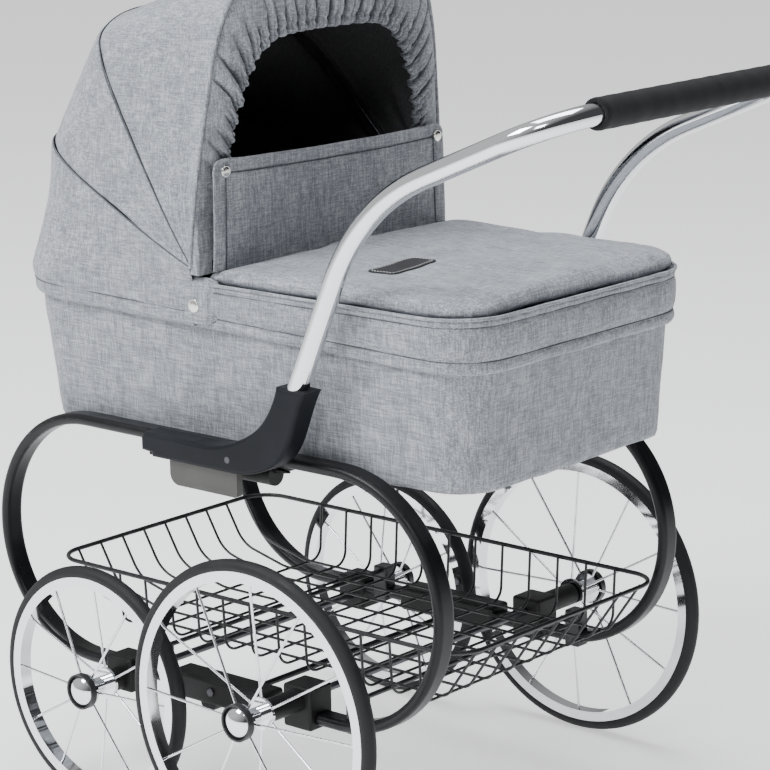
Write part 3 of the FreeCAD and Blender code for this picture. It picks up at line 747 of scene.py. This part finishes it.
bow_lines = {}
for angle, half in (
    (158.0, [
        (146, 0), (145.3, 25), (142.5, 60), (135.5, 110), (126.8, 160), (113.5, 194), (90, 213.6),
        (46, 221.6), (0, 223),
    ]),
    (128.0, [
        (146, 0), (145.3, 25), (142.5, 60), (136.5, 110), (129, 160), (120, 190), (104, 212),
        (64, 227.5), (0, 231),
    ]),
    (86.0, [
        (146, 0), (145.3, 25), (142.5, 60), (135.5, 110), (126.8, 160), (113.5, 194), (90, 213.6),
        (46, 221.6), (0, 223),
    ]),
):
    bow_lines[angle] = curve_through(half + [(-y, r) for y, r in reversed(half[:-1])])


def hood_line(angle, count):
    """The hood's outline at one angle about the pivots, as (y, distance), between those of its bows."""
    low, high = (158.0, 128.0) if angle > 128.0 else (128.0, 86.0)
    share = max(0.0, min(1.0, (low - angle) / (low - high)))
    lines = zip(spaced(bow_lines[low], count), spaced(bow_lines[high], count))
    return [(p[0] + (q[0] - p[0]) * share, p[1] + (q[1] - p[1]) * share) for p, q in lines]


def hood_ring(angle, inset=0.0, count=150, flat=1.0, first=0.0):
    """The outline as points from the right pivot over to the left one, starting a little way from each."""
    turn = math.radians(angle)
    line = [(y, r) for y, r in hood_line(angle, 300) if r >= first]
    ring = []
    for y, r in spaced(line, count):
        along = (1 - inset / 223) * flat
        ring.append((-8 + r * along * math.cos(turn), y * (1 - inset / 146), 437 + r * along * math.sin(turn)))
    return ring


def slacken(piece, low_angle, high_angle, seed):
    """Pull a gore's sides in between its bows, with a few soft folds that run down to the pivot."""
    centre = at(-8, 0, 437)
    for vertex in piece.data.vertices:
        out = vertex.co - centre
        radius = Vector((out.x, out.z)).length * 1000
        angle = math.degrees(math.atan2(out.z, out.x)) % 360
        share = max(0.0, min(1.0, (low_angle - angle) / (low_angle - high_angle)))
        slack = math.sin(math.pi * share) ** 1.5
        side = max(0.0, min(1.0, (abs(vertex.co.y) * 1000 - 95) / 35))
        pull = slack * side * 1.8 * min(1.0, radius / 70)
        near_pivot = math.exp(-((radius - 60) / 60) ** 2)
        fold = slack * side * 1.4 * math.sin(share * 21 + radius / 38 + seed) * near_pivot
        vertex.co.y -= math.copysign((pull + fold * min(1.0, radius / 40)) / 1000, vertex.co.y)
        loose = min(1.0, max(0.0, radius - 12) / 70)
        wrinkle = noise.noise(vertex.co * 17) * 1.7 + noise.noise(vertex.co * 55 + Vector((seed, 0, 0))) * 0.5
        vertex.co += out.normalized() * (wrinkle * loose / 1000)


def gore(name, low_angle, high_angle, inset, steps):
    """One gore from its lower bow up to its upper bow, drawn in between the two like a taut chord."""
    half_width = (low_angle - high_angle) / 2
    middle = (low_angle + high_angle) / 2
    made = []
    for k in range(steps + 1):
        angle = low_angle - (low_angle - high_angle) * k / steps
        chord = math.cos(math.radians(half_width)) / math.cos(math.radians(angle - middle))
        edge = min(angle - high_angle, low_angle - angle)
        crease = 1.3 * math.exp(-(edge / 0.55) ** 2)
        made.append(hood_ring(angle, inset + crease, flat=1 - (1 - chord) * 0.8))
    piece = skin(name, made, closed=False)
    slacken(piece, low_angle, high_angle, inset)
    return piece


def drape(piece):
    """Finish a gore: normals turned outward, linen outside and lining inside, a thin solidify, smooth shading,
    and its transform baked in.
    """
    face_out(piece)
    centre = at(-8, 0, 437)
    outward = sum((polygon.normal.dot(polygon.center - centre) for polygon in piece.data.polygons))
    if outward < 0:
        edit(piece)
        bpy.ops.mesh.flip_normals()
        done()
    set_material(piece, grey_linen, lining)
    add_modifier(piece, "SOLIDIFY", thickness=0.0006, offset=-1, material_offset=1, material_offset_rim=0)
    smooth(piece)
    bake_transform(piece)


# The lowest gore flares from its bow out to the cot's rim, bulges over it and curls in under the lip band.
bow_edge = hood_ring(158.0, LAYERS["low"] + 1.3, 260)
rim_edge = [(x, y) for x, y, z in rounded_ring(-219.5, 256, 140.8, 48, 0, 700, 57) if x < -9]
rim_edge.sort(key=lambda p: -math.atan2(p[1], -(p[0] - 10)))
rim_edge = spaced(rim_edge, 260)
made = []
for k in range(34):
    down = k / 33
    lift = 1 - math.exp(-(down / 0.02) ** 2)
    ring = []
    for (ax, ay, az), (bx, by) in zip(bow_edge, rim_edge):
        reach = down ** 1.55
        length = math.hypot(bx - 10, by)
        ring.append((
            ax + (bx - ax) * reach + 1.3 * lift * (bx - 10) / length * (1 - down),
            ay + (by - ay) * reach + 1.3 * lift * by / length * (1 - down),
            az + (425.0 - az) * down,
        ))
    made.append(ring)
for z, out in (
    (423.6, 0.0), (422.0, 0.6), (419.0, 1.5), (415, 2.2), (410, 2.5), (405, 2.3), (400.5, 1.6),
    (397.4, 0.9), (396.3, 0.2), (395.2, 0.8), (392.0, 1.2), (389.2, 0.9), (387.0, 0.0), (385.8, -1.2),
    (385.6, -3.0),
):
    ring = []
    for x, y in rim_edge:
        length = math.hypot(x - 10, y)
        rise = max(0.0, min(1.0, (420 - z) / 24)) * (5.6 + 5.4 * (-9 - x) / 209)
        ring.append((x + out * (x - 10) / length, y + out * y / length, z + rise))
    made.append(ring)
    if z == 396.3:
        hem_line = ring
low_gore = skin("hood_gore_low", made, closed=False)
for vertex in low_gore.data.vertices:
    loose = min(1.0, math.dist((vertex.co.x, vertex.co.z), (-0.0696, 0.437)) / 0.08)
    wrinkle = noise.noise(vertex.co * 19) * 1.9 + noise.noise(vertex.co * 60) * 0.6
    vertex.co += Vector((vertex.co.x, vertex.co.y, 0)).normalized() * (wrinkle * loose / 1000)
drape(low_gore)
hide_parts("hood_base_fabric")

hem = tube("hood_hem_seam", hem_line, 0.45, thread, sides=1)
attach(hem, "cot")

middle_gore = gore("hood_gore_middle", 158.0, 128.0, LAYERS["middle"], 44)
drape(middle_gore)
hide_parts("hood_middle_fabric")

arch_gore = gore("hood_gore_arch", 128.0, 86.0, LAYERS["arch"], 56)
drape(arch_gore)
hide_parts("hood_arch_fabric")

# Each seam's dark thread lies down in its groove. Its line is partly stitching and partly painted shade,
# standing in for the groove's shadow.
for body, angle, inset in (("hood_low", 158.0, 0.75), ("hood_middle", 128.0, 1.6)):
    seam = tube("hood_seam_" + body, hood_ring(angle, inset, 180), 0.55, thread, sides=1)
    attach(seam, body)
edge_piping = tube("arch_edge_piping", hood_ring(85.6, 0.6, 220), 1.5, grey_linen)
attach(edge_piping, "hood_arch")

# ---------------------------------------------------------------- Bows
# Steel wire bows run in sleeves of the black lining, so from inside they show as soft dark bands.
coat_node(dark_steel, "bow_low", "bow_middle", "bow_arch")
sleeve_cloth, shader = finish("black_sleeve_cloth", (0.008, 0.008, 0.009), 0.9)
threads = grain(sleeve_cloth, 500, 3)
shades(sleeve_cloth, shader, threads, (0.3, (0.006, 0.006, 0.007)), (0.7, (0.011, 0.011, 0.012)))
bump(sleeve_cloth, shader, grain(sleeve_cloth, 1300, 2), 0.3, 0.0003)
for body, angle, inset in (("hood_low", 158.0, 5.7), ("hood_middle", 128.0, 9.1), ("hood_arch", 88.0, 12.5)):
    line = hood_ring(angle, inset + (8 if body == "hood_middle" else 0), 120, first=34)
    sleeve = tube("bow_sleeve_" + body, line, 2.9, sleeve_cloth)
    ripple(sleeve, 0.01, 0.0009)
    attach(sleeve, body)

# ---------------------------------------------------------------- Gathered arch panel
# The hood's face is a panel gathered by elastic round the window. Its outer edge is sewn flat to the arch, and
# the cloth bunches more and more towards the window, in uneven pleats that end in a ruched hem.
arch_turn = math.radians(86.0)


def arch_place(y, r, forward):
    """A place in the arch's own plane, moved forward out of it."""
    x = -8 + r * math.cos(arch_turn) + forward * math.sin(arch_turn)
    return (x, y, 437 + r * math.sin(arch_turn) - forward * math.cos(arch_turn))


half_window = [
    (116, -5), (114, 25), (111, 55), (107.5, 83), (102.5, 107), (95, 129), (83.5, 149), (69.5, 161), (49, 167),
    (0, 168.5),
]
window_line = curve_through(half_window + [(-y, r) for y, r in reversed(half_window[:-1])])
columns = 720
sewn_edge = [(y * (1 - 0.9 / 146), r * (1 - 0.9 / 223)) for y, r in bow_lines[86.0]]
outer_line = spaced([(144.8, -5.0)] + sewn_edge + [(-144.8, -5.0)], columns)
inner_line = spaced(window_line, columns)
dice = random.Random(11)


def pleat_row(narrow, wide):
    """Uneven pleats along the window: where each starts, how tall it is and how far out it reaches."""
    starts = [0.0]
    while starts[-1] < 1.0:
        starts.append(starts[-1] + dice.uniform(narrow, wide))
    depths = (0.45, 0.6, 0.8, 1.0)
    return [(a, b - a, dice.uniform(0.6, 1.3), dice.choice(depths)) for a, b in zip(starts, starts[1:])]


def pleat_height(row, share, t):
    """A row of round pleats with sharp valleys between them, fading out away from the window."""
    for start, width, height, depth in row:
        if share < start + width:
            u = (share - start) / width
            fade = min(1.0, max(0.0, (t - (1 - depth)) / (0.5 * depth)))
            return height * fade * (abs(math.sin(math.pi * u)) ** 1.25 - 0.58)
    return 0.0


folds = pleat_row(0.018, 0.034)
ruffles = pleat_row(0.007, 0.0105)
rows = 36
rings = []
creases = []
for row in range(rows + 1):
    t = row / rows
    ring = []
    for k in range(columns):
        s = k / (columns - 1)
        (oy, orr), (iy, ir) = outer_line[k], inner_line[k]
        up = min(1.0, max(0.0, (orr - 70) / 60))
        foot = min(1.0, max(0.0, (45 - orr) / 35))
        skew = s + 0.010 * math.sin(s * 31) * (1 - t)
        bulge = 6.0 * math.sin(math.pi * min(1.0, t * 1.05)) ** 0.8 * (0.2 + 0.8 * up) + 0.8 + 3.0 * t * up
        fold = pleat_height(folds, skew, t) * (1.25 - 0.6 * t) * (0.2 + 0.8 * up)
        small = pleat_height(ruffles, s, t) * min(1.0, max(0.0, (t - 0.45) / 0.3)) * (0.35 + 0.65 * up)
        gather, ruche = 8.6 * fold, 3.2 * small
        # Painted shade for the pleat valleys: how far the cloth's colour is darkened at each point, stored
        # below as the crease attribute.
        creases.append(min(0.92, max(0.0, -3.0 * fold - 0.10) + max(0.0, -1.5 * small - 0.1)))
        hem = 1.4 * math.exp(-((t - 0.93) / 0.045) ** 2) - 1.1 * math.exp(-((t - 0.84) / 0.03) ** 2)
        rise = min(1.0, t * (9 + 40 * foot))
        turned_in = 2.6 if t == 1.0 else 0.0
        forward = (bulge + gather + ruche) * rise * (1 - foot) + 7.6 * foot * rise + hem - turned_in
        ring.append(arch_place(oy + (iy - oy) * t, orr + (ir - orr) * t, forward))
    rings.append(ring)
arch_panel = skin("gathered_arch_panel", rings, closed=False)
crease = arch_panel.data.attributes.new("crease", "FLOAT", "POINT")
crease.data.foreach_set("value", creases)
face_out(arch_panel)
face_rear(arch_panel)
# This copy of the linen carries the painted crease shade.
gathered_linen = linen("gathered_linen", *linen_shades, 3.0, crease_shading=True)
set_material(arch_panel, gathered_linen, lining)
add_modifier(arch_panel, "SOLIDIFY", thickness=0.0007, offset=-1, material_offset=1, material_offset_rim=0)
smooth(arch_panel)
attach(arch_panel, "hood_arch")
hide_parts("arch_panel")

# ---------------------------------------------------------------- Window flap
# A plain flap of the same cloth closes the lower half of the window. It has a stitched hem along its top,
# a seam near each side, and a domed snap in each upper corner; its lower edge hangs in a shallow curve.


def flap_point(across, up, forward):
    """A place on the flap: across runs from the left edge to the right, up from the lower edge to the upper."""
    side = across * 2 - 1
    low = 434.5 - 3.5 * (1 - side * side)
    high = 517.0 - 2.0 * (1 - side * side) - 1.5 * side
    z = low + (high - low) * up
    into_corner = max(0.0, 9.0 - (high - z))
    half = 136.5 - 3.5 * up - (9.0 - math.sqrt(81.0 - into_corner ** 2))
    sag = 0.7 * math.sin(across * 9.0 + 0.6) * math.sin(math.pi * up) + 0.4 * math.sin(across * 23 + up * 5)
    return (8.6 + forward + sag - 2.4 * abs(side) ** 6, side * half, z)


rings = []
for k in range(61):
    up = k / 60
    ring = []
    for n in range(181):
        across = n / 180
        hem = 0.9 if up > 0.885 or min(across, 1 - across) < 0.042 else 0.0
        groove = -0.5 if 0.86 < up <= 0.885 or 0.042 <= min(across, 1 - across) < 0.053 else 0.0
        ring.append(flap_point(across, up, 1.0 + hem + groove))
    rings.append(ring)
flap = skin("window_flap_cloth", rings, closed=False)
face_out(flap)
face_rear(flap)
ripple(flap, 0.05, 0.0016)
set_material(flap, grey_linen, lining)
add_modifier(flap, "SOLIDIFY", thickness=0.0012, offset=-1, material_offset=1, material_offset_rim=0)
smooth(flap)
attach(flap, "flap")
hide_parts("window_flap")
for name, line in (
    ("flap_hem_seam", [flap_point(n / 60, 0.872, 0.95) for n in range(2, 59)]),
    ("flap_left_seam", [flap_point(0.048, n / 40, 0.9) for n in range(0, 36)]),
    ("flap_right_seam", [flap_point(0.952, n / 40, 0.9) for n in range(0, 36)]),
    ("flap_lower_binding", [flap_point(n / 60, 0.0, 0.6) for n in range(61)]),
):
    seam = tube(name, line, 0.9 if "binding" in name else 0.4, lining if "binding" in name else thread, sides=2)
    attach(seam, "flap")

# ---------------------------------------------------------------- Snaps and tabs
# Domed nickel snaps with a rolled rim. The two low ones hold a rounded cloth tab that buttons the cover over
# the lip under each pivot.
nickel, shader = finish("nickel_snap", (0.80, 0.79, 0.76), 0.16, 1.0)
wear = grain(nickel, 160, 4)
nickel.node_tree.links.new(spread(nickel, wear, 0.35, 0.75, 0.10, 0.26), shader.inputs["Roughness"])
bump(nickel, shader, wear, 0.06, 0.0003)


def snap(name, place, toward, radius, body):
    """A press-snap cap: a dome in a rolled rim, spun round its own axis."""
    profile = [
        (0.0, 1.75), (0.25, 1.72), (0.5, 1.55), (0.7, 1.25), (0.78, 0.98), (0.84, 0.95), (0.93, 1.05),
        (1.0, 0.8), (1.02, 0.45), (0.98, 0.0), (0.6, -0.1),
    ]
    rings = []
    for share, lift in profile[1:]:
        ring = []
        for k in range(40):
            turn = 2 * math.pi * k / 40
            a, b = radius * share * math.cos(turn), radius * share * math.sin(turn)
            if toward == "x":
                ring.append((place[0] + lift, place[1] + a, place[2] + b))
            else:
                ring.append((place[0] + a, place[1] + lift * toward, place[2] + b))
        rings.append(ring)
    cap = skin(name, rings, ends=2)
    face_out(cap)
    smooth(cap)
    set_material(cap, nickel)
    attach(cap, body)
    return cap


left_cap = snap("flap_snap_left", (10.4, -123.5, 509.0), "x", 4.6, "flap")
snap("flap_snap_right", (10.4, 123.5, 506.0), "x", 4.6, "flap")
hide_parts("flap_snaps")

for side, sign in (("left", -1), ("right", 1)):
    rings = []
    for share, lift in (
        (0.15, 2.2), (0.5, 2.2), (0.8, 2.1), (0.9, 1.7), (0.94, 1.65), (0.98, 1.9), (1.0, 1.2),
        (0.99, -0.6), (0.9, -1.6),
    ):
        ring = []
        for k in range(96):
            turn = 2 * math.pi * k / 96
            across = math.copysign(abs(math.cos(turn)) ** 0.6, math.cos(turn)) * 17.0
            x = -3.0 + across * share
            tall = 15.5 if math.sin(turn) < 0 else 20.5
            roundness = 0.9 if math.sin(turn) < 0 else 0.45
            up = math.copysign(abs(math.sin(turn)) ** roundness, math.sin(turn)) * tall
            sink = 5.6 * max(0.0, min(1.0, x / 12.0)) ** 1.5
            over = 4.6 * max(0.0, (up * share - 13) / 7.5) ** 2
            ring.append((x, sign * (141.2 + lift - sink - over), 409.3 + up * share))
        rings.append(ring)
    tab = skin("snap_tab_" + side, rings, ends=2)
    face_out(tab)
    add_modifier(tab, "SUBSURF", levels=1, render_levels=1)
    ripple(tab, 0.01, 0.0005)
    smooth(tab)
    set_material(tab, grey_linen)
    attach(tab, "cot")
    cap = snap("tab_snap_" + side, (-7.5, sign * 143.2, 408.0), sign, 5.2, "cot")
    if side == "left":
        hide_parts("snap_tabs")
        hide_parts("tab_snaps")
